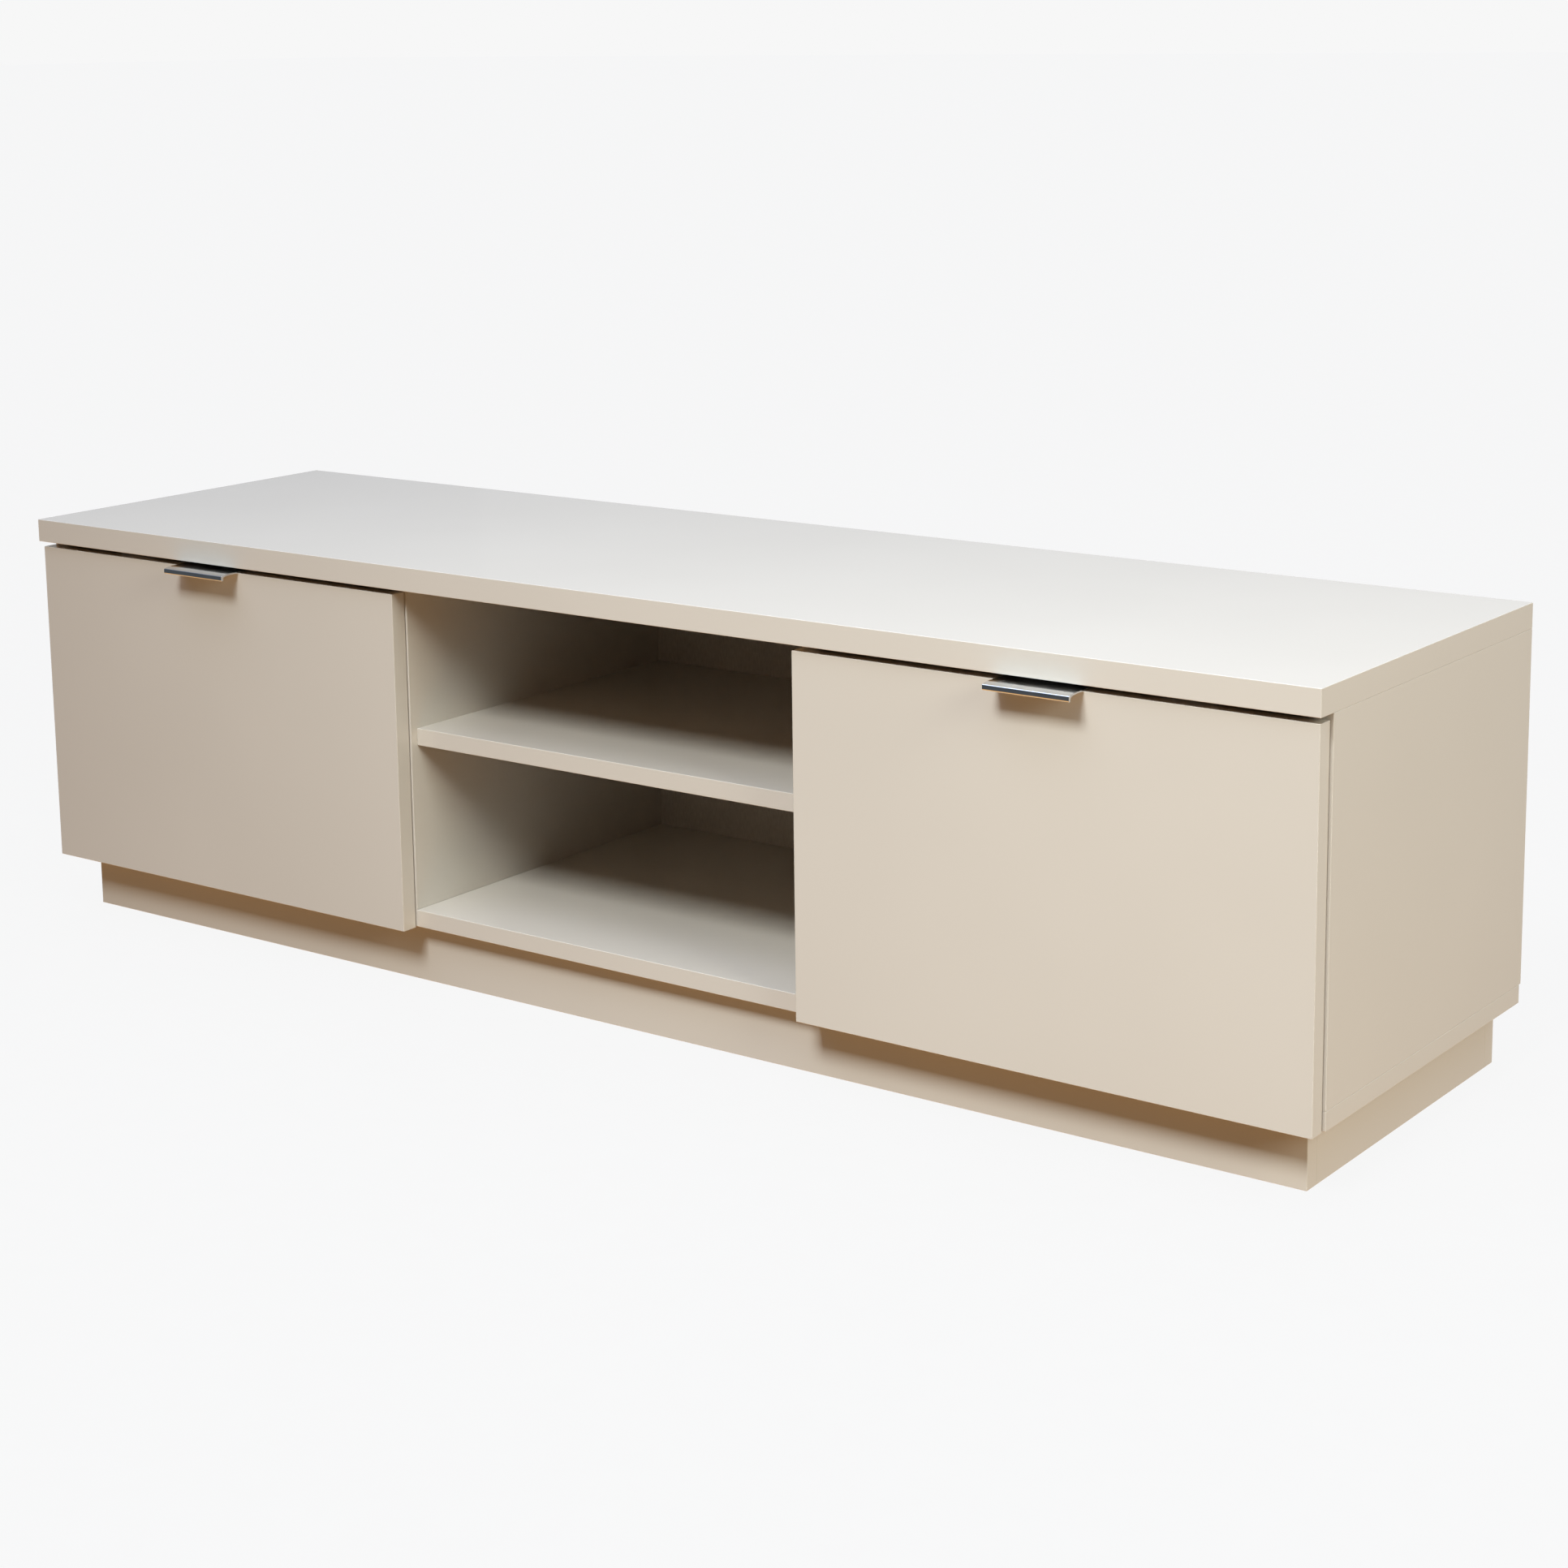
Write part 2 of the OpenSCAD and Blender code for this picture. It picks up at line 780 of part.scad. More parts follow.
// The guide turns on its stem in the wall bracket, and the rod slides through it
module stay_guide(side) {
    color(grey_plastic) on(side) difference() {
        union() {
            rod_x_at([rod_x - guide_d / 2, wall_y, wall_z], guide_d, guide_d);
            rod_x_at([rod_x + guide_d / 2, wall_y, wall_z], stay_pin_d, boss_t + side_fit - 0.5);
        }
        on_rod_line() rod_y_at([0, 0, 0], rod_d + 2 * slide_fit, rod_open * 2);
    }
}

module stay_rod(side) {
    stop_at = rod_open + guide_d / 2 + side_fit;
    color(steel) on(side) difference() {
        union() {
            on_rod_line() {
                rod_y_at([0, 0, 0], rod_d, stop_at + stop_l);
                rod_y_at([0, stop_at, 0], stop_d, stop_l);
            }
            rod_x_at([rod_x - eye_t / 2, clip_y, clip_z], eye_d, eye_t);
        }
        rod_x_at([rod_x - eye_t, clip_y, clip_z], stay_pin_d + 2 * turn_fit, eye_t * 2);
    }
}

// Clip on the door: a plate, an ear and the pin that the rod's eye turns on
module stay_clip(side) {
    pin_l = clip_t + eye_t + 2 * side_fit;
    color(steel) on(side) difference() {
        union() {
            block([clip_x - clip_leg, door_back, clip_z - clip_half],
                  [clip_x + clip_t, door_back + plate_thin, clip_z + clip_half]);
            block([clip_x, door_back, clip_z - ear_half], [clip_x + clip_t, clip_y + ear_past, clip_z + ear_half]);
            rod_x_at([clip_x, clip_y, clip_z], stay_pin_d, pin_l);
            rod_x_at([clip_x + pin_l, clip_y, clip_z], stay_pin_d + 3, 1);
        }
        at_clip_screws() shank(short_screw - 2);
    }
}

module stay_screws() {
    color(zinc) at_stay_screws() screw(short_screw - 2);
}

module clip_screws(side) {
    color(zinc) on(side) at_clip_screws() screw(short_screw - 2);
}

// ---- catches and pads ----

module magnet_catches() {
    color(grey_plastic) difference() {
        for (side = [LEFT, RIGHT]) {
            on(side) translate([door_mid + catch_off - catch_size[0] / 2, catch_y, roof_z - catch_size[2]])
                cube(catch_size);
        }
        at_catch_screws() screw(long_screw);
        at_catch_screws() cylinder(d = screw_head_d, h = catch_size[2]);
    }
}

module catch_screws() {
    color(zinc) at_catch_screws() screw(long_screw);
}

module strikers(side) {
    color(zinc) on(side)
        block([door_mid + catch_off - striker_w / 2, door_back, roof_z - catch_size[2] + 1],
              [door_mid + catch_off + striker_w / 2, door_back + striker_t, door_top - 1]);
}

module door_pads(side) {
    color(grey_plastic) on(side)
        for (x = [bay_x + board_t / 2, side_in_x + board_t / 2 - 1], z = [door_top - pad_down, floor_z + pad_down * 2])
            rod_y_at([x, door_back, z], pad_d, pad_t);
}

top_panel();
base_panel();
side_panel(LEFT);  // side_panel_left
side_panel(RIGHT);  // side_panel_right
divider(LEFT);  // divider_left
divider(RIGHT);  // divider_right
centre_shelf();
inner_shelf(LEFT);  // inner_shelf_left
inner_shelf(RIGHT);  // inner_shelf_right
shelf_pins();
back_panel_left();
back_panel_centre();
back_panel_right();
back_screws();
plinth_front();
plinth_back();
plinth_end(LEFT);  // plinth_left
plinth_end(RIGHT);  // plinth_right
plinth_rails();
plinth_angles();
plinth_screws();
cam_locks();
cam_bolts();
dowels();
door(LEFT);  // door_left
door(RIGHT);  // door_right
handle(LEFT);  // handle_left
handle(RIGHT);  // handle_right
handle_screws(LEFT);  // handle_screws_left
handle_screws(RIGHT);  // handle_screws_right
hinge_cups(LEFT);  // hinge_cups_left
hinge_cups(RIGHT);  // hinge_cups_right
hinge_pins(LEFT);  // hinge_pins_left
hinge_pins(RIGHT);  // hinge_pins_right
cup_screws(LEFT);  // cup_screws_left
cup_screws(RIGHT);  // cup_screws_right
hinge_arms();
hinge_plates();
plate_screws();
stay_brackets();
stay_guide(LEFT);  // stay_guide_left
stay_guide(RIGHT);  // stay_guide_right
stay_rod(LEFT);  // stay_rod_left
stay_rod(RIGHT);  // stay_rod_right
stay_clip(LEFT);  // stay_clip_left
stay_clip(RIGHT);  // stay_clip_right
stay_screws();
clip_screws(LEFT);  // clip_screws_left
clip_screws(RIGHT);  // clip_screws_right
magnet_catches();
catch_screws();
strikers(LEFT);  // strikers_left
strikers(RIGHT);  // strikers_right
door_pads(LEFT);  // door_pads_left
door_pads(RIGHT);  // door_pads_right
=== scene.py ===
import json
import math

import bmesh
import bpy
from mathutils import Matrix, Vector


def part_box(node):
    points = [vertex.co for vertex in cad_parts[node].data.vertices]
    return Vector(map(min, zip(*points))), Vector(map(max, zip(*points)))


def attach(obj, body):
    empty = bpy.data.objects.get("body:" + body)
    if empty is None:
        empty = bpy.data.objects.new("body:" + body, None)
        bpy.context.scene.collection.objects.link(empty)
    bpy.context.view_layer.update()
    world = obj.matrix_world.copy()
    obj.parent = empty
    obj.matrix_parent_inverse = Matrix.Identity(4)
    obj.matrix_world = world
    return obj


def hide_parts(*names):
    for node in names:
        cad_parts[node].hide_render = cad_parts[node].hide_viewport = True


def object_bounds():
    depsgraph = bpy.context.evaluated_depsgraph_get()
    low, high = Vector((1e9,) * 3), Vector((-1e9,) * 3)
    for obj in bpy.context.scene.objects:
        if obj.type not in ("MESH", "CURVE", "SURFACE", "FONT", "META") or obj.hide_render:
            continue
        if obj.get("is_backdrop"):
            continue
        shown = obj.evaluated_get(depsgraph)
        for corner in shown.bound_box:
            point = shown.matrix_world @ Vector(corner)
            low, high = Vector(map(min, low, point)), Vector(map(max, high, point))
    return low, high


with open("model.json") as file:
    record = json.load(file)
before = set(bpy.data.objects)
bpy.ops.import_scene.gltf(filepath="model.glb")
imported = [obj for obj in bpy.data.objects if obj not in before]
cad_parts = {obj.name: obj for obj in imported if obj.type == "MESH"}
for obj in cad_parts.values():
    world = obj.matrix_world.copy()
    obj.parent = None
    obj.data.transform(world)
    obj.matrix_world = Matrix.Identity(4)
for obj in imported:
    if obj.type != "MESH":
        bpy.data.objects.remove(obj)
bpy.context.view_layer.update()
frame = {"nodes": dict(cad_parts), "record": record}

# A low media bench in high-gloss lacquered board, with two flap doors and an open bay.
# Every size is in metres; a length in millimetres is written as so many MM.
MM = 0.001
SEED = 7
MERGE_WITHIN = 0.002 * MM   # points this close in a CAD mesh are one corner

BODY_OF = {node: body for body, nodes in frame["record"]["behaviour"]["bodies"].items() for node in nodes}
SLOT_OF = {row["node"]: row["material_slot"] for row in frame["record"]["subparts"]}


def linear(hex_colour):
    """An sRGB hex colour as linear light, with full alpha."""
    parts = [int(hex_colour[i:i + 2], 16) / 255 for i in (1, 3, 5)]
    return [c / 12.92 if c <= 0.04045 else ((c + 0.055) / 1.055) ** 2.4 for c in parts] + [1.0]


def add(tree, kind, inputs=None, **settings):
    """Adds a node. An input is a value, or another node's output socket to link from."""
    node = tree.nodes.new(kind)
    for key, value in settings.items():
        setattr(node, key, value)
    for key, value in (inputs or {}).items():
        if isinstance(value, bpy.types.NodeSocket):
            tree.links.new(value, node.inputs[key])
        else:
            node.inputs[key].default_value = value
    return node


# ---- finishes ----

def new_finish(name, **surface):
    """A material with a Principled shader and the object's own coordinates to draw patterns on.
    The surface's constants are named as the shader's sockets are, in small letters."""
    finish = bpy.data.materials.new(name)
    finish.use_nodes = True
    tree = finish.node_tree
    tree.nodes.clear()
    place = add(tree, "ShaderNodeTexCoord").outputs["Object"]
    constants = {k.replace("_", " ").title().replace("Ior", "IOR"): v for k, v in surface.items()}
    shader = add(tree, "ShaderNodeBsdfPrincipled", constants)
    add(tree, "ShaderNodeOutputMaterial", {"Surface": shader.outputs["BSDF"]})
    return finish, tree, place, shader


def two_tone(tree, factor, low, high, start=0.3, end=0.7):
    """A colour that runs between two hex colours as a pattern's value goes from start to end."""
    ramp = add(tree, "ShaderNodeValToRGB", {"Fac": factor})
    ramp.color_ramp.elements[0].position = start
    ramp.color_ramp.elements[0].color = linear(low)
    ramp.color_ramp.elements[1].position = end
    ramp.color_ramp.elements[1].color = linear(high)
    return ramp.outputs["Color"]


def gloss_lacquer():
    """Fibreboard sprayed with beige high-gloss lacquer and buffed: an even colour under a clear,
    sharp coat, with the faintest orange peel that softens what it mirrors."""
    finish, tree, place, shader = new_finish("high_gloss_beige_lacquer", roughness=0.5, ior=1.5,
                                             coat_weight=1.0, coat_roughness=0.06, coat_ior=1.5)
    drift = add(tree, "ShaderNodeTexNoise", {"Vector": place, "Scale": 1 / (260 * MM), "Detail": 2.0})
    colour = two_tone(tree, drift.outputs["Fac"], "#c2b9ac", "#c5bcaf")
    # Orange peel has cells of about 3 mm, a few thousandths of a millimetre high
    peel = add(tree, "ShaderNodeTexNoise", {"Vector": place, "Scale": 1 / (3.5 * MM), "Detail": 1.0})
    bump = add(tree, "ShaderNodeBump",
               {"Strength": 0.25, "Distance": 0.02 * MM, "Height": peel.outputs["Fac"]})
    tree.links.new(colour, shader.inputs["Base Color"])
    tree.links.new(bump.outputs["Normal"], shader.inputs["Coat Normal"])
    return finish


def printed_back():
    """Thin fibreboard with a printed paper foil: flat and slightly mottled, with a fibre grain of
    about a millimetre, drawn at two so that it shows."""
    finish, tree, place, shader = new_finish("foil_faced_fibreboard", ior=1.45, specular_ior_level=0.3)
    fibres = add(tree, "ShaderNodeMapping", {"Vector": place, "Scale": (1.0, 1.0, 0.3)})
    grain = add(tree, "ShaderNodeTexNoise",
                {"Vector": fibres.outputs["Vector"], "Scale": 1 / (2 * MM), "Detail": 4.0})
    colour = two_tone(tree, grain.outputs["Fac"], "#bfb2a1", "#cdc1b1")
    rough = add(tree, "ShaderNodeMapRange", {"Value": grain.outputs["Fac"], "To Min": 0.55, "To Max": 0.75})
    bump = add(tree, "ShaderNodeBump",
               {"Strength": 0.3, "Distance": 0.05 * MM, "Height": grain.outputs["Fac"]})
    tree.links.new(colour, shader.inputs["Base Color"])
    tree.links.new(rough.outputs["Result"], shader.inputs["Roughness"])
    tree.links.new(bump.outputs["Normal"], shader.inputs["Normal"])
    return finish


def metal(name, low, high, patch, smooth, dull, wear):
    """Plated steel: its colour and its polish drift together over patches of one size, and fine
    marks a fraction of a millimetre apart break up the reflections."""
    finish, tree, place, shader = new_finish(name, metallic=1.0)
    cloud = add(tree, "ShaderNodeTexNoise",
                {"Vector": place, "Scale": 1 / patch, "Detail": 5.0, "Roughness": 0.6})
    marks = add(tree, "ShaderNodeTexNoise", {"Vector": place, "Scale": 1 / (0.4 * MM), "Detail": 2.0})
    rough = add(tree, "ShaderNodeMapRange", {"Value": cloud.outputs["Fac"], "From Min": 0.3, "From Max": 0.7,
                                             "To Min": smooth, "To Max": dull})
    bump = add(tree, "ShaderNodeBump",
               {"Strength": wear, "Distance": 0.01 * MM, "Height": marks.outputs["Fac"]})
    tree.links.new(two_tone(tree, cloud.outputs["Fac"], low, high), shader.inputs["Base Color"])
    tree.links.new(rough.outputs["Result"], shader.inputs["Roughness"])
    tree.links.new(bump.outputs["Normal"], shader.inputs["Normal"])
    return finish


def beech_dowel():
    """Turned beech: pale pinkish brown, with short dark flecks a few millimetres long."""
    finish, tree, place, shader = new_finish("turned_beech", ior=1.45, specular_ior_level=0.3)
    grain = add(tree, "ShaderNodeMapping", {"Vector": place, "Scale": (1.0, 1.0, 0.2)})
    flecks = add(tree, "ShaderNodeTexNoise",
                 {"Vector": grain.outputs["Vector"], "Scale": 1 / (0.8 * MM), "Detail": 6.0})
    rough = add(tree, "ShaderNodeMapRange", {"Value": flecks.outputs["Fac"], "To Min": 0.5, "To Max": 0.8})
    bump = add(tree, "ShaderNodeBump",
               {"Strength": 0.4, "Distance": 0.05 * MM, "Height": flecks.outputs["Fac"]})
    tree.links.new(two_tone(tree, flecks.outputs["Fac"], "#b98a5b", "#dcb687"), shader.inputs["Base Color"])
    tree.links.new(rough.outputs["Result"], shader.inputs["Roughness"])
    tree.links.new(bump.outputs["Normal"], shader.inputs["Normal"])
    return finish


def moulded_plastic(name, low, high, rough_from, rough_to, **surface):
    """Injection-moulded plastic from a spark-eroded tool: even colour, with a fine pebbled skin of
    about half a millimetre that spreads its highlights."""
    finish, tree, place, shader = new_finish(name, ior=1.49, **surface)
    pebble = add(tree, "ShaderNodeTexNoise", {"Vector": place, "Scale": 1 / (0.5 * MM), "Detail": 3.0})
    flow = add(tree, "ShaderNodeTexNoise", {"Vector": place, "Scale": 1 / (12 * MM), "Detail": 2.0})
    rough = add(tree, "ShaderNodeMapRange",
                {"Value": pebble.outputs["Fac"], "To Min": rough_from, "To Max": rough_to})
    bump = add(tree, "ShaderNodeBump",
               {"Strength": 0.35, "Distance": 0.04 * MM, "Height": pebble.outputs["Fac"]})
    tree.links.new(two_tone(tree, flow.outputs["Fac"], low, high), shader.inputs["Base Color"])
    tree.links.new(rough.outputs["Result"], shader.inputs["Roughness"])
    tree.links.new(bump.outputs["Normal"], shader.inputs["Normal"])
    return finish


FINISHES = {
    "gloss_board": gloss_lacquer(),
    "back_board": printed_back(),
    # Bright chrome: almost a mirror, with faint cloudy wipe marks
    "polished_chrome": metal("bright_chrome_plate", "#d3d5d8", "#dfe0e2", 18 * MM, 0.05, 0.11, 0.05),
    # Nickel on pressed steel: warmer and softer than chrome
    "nickel_steel": metal("nickel_plated_steel", "#b3afa6", "#c4c0b7", 9 * MM, 0.2, 0.34, 0.25),
    # Bright zinc: bluish and slightly blotchy, duller than nickel
    "zinc_steel": metal("bright_zinc_plate", "#b7bbc0", "#cbccca", 4 * MM, 0.3, 0.48, 0.4),
    "beech": beech_dowel(),
    "grey_plastic": moulded_plastic("moulded_grey_abs", "#bcbcb8", "#c3c3bf", 0.42, 0.6),
    # Soft clear polyurethane bumper: milky, and a little glossy
    "soft_pad": moulded_plastic("clear_polyurethane", "#dcdad4", "#e6e4de", 0.2, 0.35,
                                transmission_weight=0.35),
}


# ---- shaping ----

BOARD_ARRIS = 0.45 * MM
BACK_ARRIS = 0.2 * MM
FITTING_ARRIS = 0.2 * MM
HANDLE_ARRIS = 0.25 * MM
FLAT_WITHIN = math.radians(0.2)     # triangles turned less than this are one flat face
SMOOTH_UP_TO = math.radians(38)     # faces that meet at less than this are shaded as one rounding
CORNER_FROM = math.radians(50)      # faces that meet at more than this have a corner to break


def merged(node):
    """A copy of a CAD node's mesh with its loose triangles joined and its flat faces made whole."""
    shape = bmesh.new()
    shape.from_mesh(frame["nodes"][node].data)
    bmesh.ops.remove_doubles(shape, verts=shape.verts, dist=MERGE_WITHIN)
    bmesh.ops.dissolve_limit(shape, angle_limit=FLAT_WITHIN, verts=shape.verts, edges=shape.edges)
    return shape


def finished_mesh(shape, name, finish):
    """Turns a shape into a mesh that is smooth over its roundings and flat over its flats."""
    for face in shape.faces:
        face.smooth = True
    for edge in shape.edges:
        edge.smooth = len(edge.link_faces) == 2 and edge.calc_face_angle() < SMOOTH_UP_TO
    mesh = bpy.data.meshes.new(name)
    shape.to_mesh(mesh)
    shape.free()
    mesh.materials.clear()
    mesh.materials.append(finish)
    piece = bpy.data.objects.new(name, mesh)
    bpy.context.scene.collection.objects.link(piece)
    flats = piece.modifiers.new("flats", "WEIGHTED_NORMAL")
    flats.keep_sharp = True
    flats.weight = 100
    return baked_down(piece)


def baked_down(piece):
    """Replaces a piece's mesh by what its modifiers make of it, and removes them."""
    graph = bpy.context.evaluated_depsgraph_get()
    mesh = bpy.data.meshes.new_from_object(piece.evaluated_get(graph))
    mesh.name = piece.name
    piece.modifiers.clear()
    old, piece.data = piece.data, mesh
    bpy.data.meshes.remove(old)
    return piece


def stands_for(piece, node):
    """The piece takes a CAD node's place and body: it joins the node's body, and the node is hidden."""
    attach(piece, BODY_OF[node])
    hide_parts(node)
    return piece


def eased(shape, edges, arris, steps):
    """Rounds the edges by a small radius."""
    bmesh.ops.bevel(shape, geom=list(edges), offset=arris, offset_type="OFFSET", segments=steps, profile=0.5,
                    affect="EDGES", clamp_overlap=True)


def board(node, arris):
    """A board with its outer edges eased by a small radius. Bored holes and pockets stay as they are."""
    shape = merged(node)
    low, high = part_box(node)
    slack = 0.01 * MM

    def outer(edge):
        """Whether the edge lies in two sides of the board's box at once."""
        a, b = (v.co for v in edge.verts)
        return sum(max(abs(a[k] - side[k]), abs(b[k] - side[k])) < slack
                   for k in range(3) for side in (low, high)) >= 2

    eased(shape, [e for e in shape.edges if outer(e)], arris, 3)
    return stands_for(finished_mesh(shape, node + "_board", FINISHES[SLOT_OF[node]]), node)


def fitting(node):
    """A small part with its sharp corners broken, as pressing and tumbling leave them."""
    shape = merged(node)
    corners = [e for e in shape.edges if len(e.link_faces) == 2 and e.calc_face_angle() > CORNER_FROM]
    eased(shape, corners, FITTING_ARRIS, 2)
    return stands_for(finished_mesh(shape, node + "_part", FINISHES[SLOT_OF[node]]), node)


BOARDS = [
    "top_panel", "base_panel", "side_panel_left", "side_panel_right", "divider_left", "divider_right",
    "centre_shelf", "inner_shelf_left", "inner_shelf_right", "plinth_front", "plinth_back",
    "plinth_left", "plinth_right", "plinth_rails", "door_left", "door_right",
]
BACKS = ["back_panel_left", "back_panel_centre", "back_panel_right"]
FITTINGS = [
    "plinth_angles", "hinge_cups_left", "hinge_cups_right", "hinge_pins_left", "hinge_pins_right",
    "hinge_arms", "hinge_plates", "stay_brackets", "stay_guide_left", "stay_guide_right",
    "stay_rod_left", "stay_rod_right", "stay_clip_left", "stay_clip_right", "magnet_catches",
    "strikers_left", "strikers_right", "door_pads_left", "door_pads_right", "shelf_pins", "cam_bolts",
    "dowels",
]
for node in BOARDS:
    board(node, BOARD_ARRIS)
for node in BACKS:
    board(node, BACK_ARRIS)
for node in FITTINGS:
    fitting(node)


# ---- lip handles ----

def arc(y, z, radius, first, last):
    """Points round a centre, every 15 degrees, with 0 towards +Y and 90 towards +Z."""
    turns = [math.radians(angle) for angle in range(first, last + 1, 15)]
    return [(y + radius * math.cos(a), z + radius * math.sin(a)) for a in turns]


def handle_profile(low, high, door_front):
    """The section of a lip handle in Y and Z, as a closed outline: a flange behind the door, a plate
    over its edge, and a flat lip that turns down only near its thicker, rounded nose."""
    sheet = 1.6 * MM
    nose_t = 2.6 * MM
    nose_h = 5.0 * MM
    dip = 1.3 * MM
    fold = 1.2 * MM
    fillet_y = 0.6 * MM
    fillet_z = 1.0 * MM
    upper_steps = 18
    under_steps = 14
    top, tip, back = high.z, low.y, high.y
    crown = top - dip
    foot = crown - nose_h
    nose_r = nose_t / 2
    lip_end = tip + nose_r
    nose_back = tip + nose_t

    def dipped(share):
        """How far the lip has turned down, by its share of the way from the door to the nose."""
        return dip * share ** 5

    outline = [(back, low.z)]
    outline += arc(back - fold, top - fold, fold, 0, 90)
    for i in range(upper_steps + 1):
        share = i / upper_steps
        outline.append((door_front + (lip_end - door_front) * share, top - dipped(share)))
    outline += arc(lip_end, crown - nose_r, nose_r, 105, 180)
    outline += arc(lip_end, foot + nose_r, nose_r, 180, 345)
    outline.append((nose_back, crown - sheet - fillet_z))
    under_front = nose_back + fillet_y
    for i in range(under_steps + 1):
        share = i / under_steps
        outline.append((under_front + (door_front - under_front) * share, top - sheet - dipped(1 - share)))
    outline.append((back - sheet, top - sheet))
    outline.append((back - sheet, low.z))
    return outline


def lip_handle(side):
    """A handle swept from its profile, with slightly eased ends."""
    node = "handle_" + side
    low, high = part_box(node)
    door_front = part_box("door_" + side)[0].y
    outline = handle_profile(low, high, door_front)
    shape = bmesh.new()
    ends = [[shape.verts.new((x, y, z)) for y, z in outline] for x in (low.x, high.x)]
    count = len(outline)
    caps = [shape.faces.new(ends[0]), shape.faces.new(ends[1][::-1])]
    for i in range(count):
        j = (i + 1) % count
        shape.faces.new((ends[0][j], ends[0][i], ends[1][i], ends[1][j]))
    bmesh.ops.recalc_face_normals(shape, faces=shape.faces)
    eased(shape, {e for cap in caps for e in cap.edges}, HANDLE_ARRIS, 2)
    piece = finished_mesh(shape, "lip_handle_" + side, FINISHES[SLOT_OF[node]])
    return stands_for(piece, node)


for side in ("left", "right"):
    lip_handle(side)


# ---- screws and cams ----

HEAD_D = 7 * MM
HEAD_H = 1.8 * MM
SHANK_D = 3.5 * MM
SCREW_RECESS_DEPTH = 1.1 * MM
SCREW_RECESS_WIDTH = 0.9 * MM
CAM_D = 15 * MM
CAM_DEPTH = 12.5 * MM
CAM_CHAMFER = 0.5 * MM
CAM_RECESS_DEPTH = 2.2 * MM
CAM_RECESS_WIDTH = 1.6 * MM


def box_of(points):
    """The low and high corners of the box round some points."""
    return [Vector(pick(p[k] for p in points) for k in range(3)) for pick in (min, max)]


def islands(node):
    """The separate solids in a CAD node, each as its points."""
    shape = bmesh.new()
    shape.from_mesh(frame["nodes"][node].data)
    bmesh.ops.remove_doubles(shape, verts=shape.verts, dist=MERGE_WITHIN)
    left, found = set(shape.verts), []
    while left:
        group, reached = set(), [left.pop()]
        while reached:
            vert = reached.pop()
            group.add(vert)
            for edge in vert.link_edges:
                other = edge.other_vert(vert)
                if other in left:
                    left.discard(other)
                    reached.append(other)
        found.append([v.co.copy() for v in group])
    shape.free()
    return sorted(found, key=lambda points: tuple(round(side, 5) for side in box_of(points)[0]))


def screw_seat(points):
    """Where a screw's head sits, which way it faces and how long its shank is, from the solid's
    own points."""
    low, high = box_of(points)
    size = high - low
    axis = max(range(3), key=lambda k: size[k])
    beside = (axis + 1) % 3
    middle = (low + high) / 2
    facing = Vector((0, 0, 0))

    def width_at(end):
        """The half width of the screw at one end of its axis."""
        return max(abs(p[beside] - middle[beside]) for p in points if abs(p[axis] - end) < 0.1 * MM)

    at_high = width_at(high[axis]) > width_at(low[axis])
    facing[axis] = 1 if at_high else -1
    head_end = high[axis] if at_high else low[axis]
    seat = middle.copy()
    seat[axis] = head_end - facing[axis] * HEAD_H
    return seat, facing, size[axis] - HEAD_H


def new_tree(name, sizes):
    """A Geometry Nodes tree whose inputs are the points to dress and the named sizes."""
    tree = bpy.data.node_groups.new(name, "GeometryNodeTree")
    tree.interface.new_socket("Points", in_out="INPUT", socket_type="NodeSocketGeometry")
    for size in sizes:
        tree.interface.new_socket(size, in_out="INPUT", socket_type="NodeSocketFloat")
    tree.interface.new_socket("Finish", in_out="INPUT", socket_type="NodeSocketMaterial")
    tree.interface.new_socket("Pieces", in_out="OUTPUT", socket_type="NodeSocketGeometry")
    return tree, add(tree, "NodeGroupInput").outputs


def maths(tree, operation, a, b):
    """The result of one sum on two values or sockets."""
    return add(tree, "ShaderNodeMath", {0: a, 1: b}, operation=operation).outputs[0]


def united(tree, meshes):
    """The meshes as one closed solid."""
    joined = add(tree, "GeometryNodeMeshBoolean", operation="UNION", solver="EXACT")
    for mesh in meshes:
        tree.links.new(mesh, joined.inputs["Mesh 2"])
    return joined.outputs["Mesh"]


def cross_recess(tree, across, deep, wide):
    """A cross-shaped bit that cuts a drive recess, standing astride z = 0."""
    bars = []
    for x, y in ((across, wide), (wide, across)):
        size = add(tree, "ShaderNodeCombineXYZ", {"X": x, "Y": y, "Z": deep}).outputs[0]
        bars.append(add(tree, "GeometryNodeMeshCube", {"Size": size}).outputs["Mesh"])
    return united(tree, bars)


def cut_away(tree, solid, bit):
    """The solid, less the bit."""
    return add(tree, "GeometryNodeMeshBoolean", {"Mesh 1": solid, "Mesh 2": bit},
               operation="DIFFERENCE", solver="EXACT").outputs["Mesh"]


def moved_up(tree, mesh, z):
    """The mesh, lifted by z."""
    lift = add(tree, "ShaderNodeCombineXYZ", {"Z": z}).outputs[0]
    return add(tree, "GeometryNodeTransform", {"Geometry": mesh, "Translation": lift}).outputs["Geometry"]


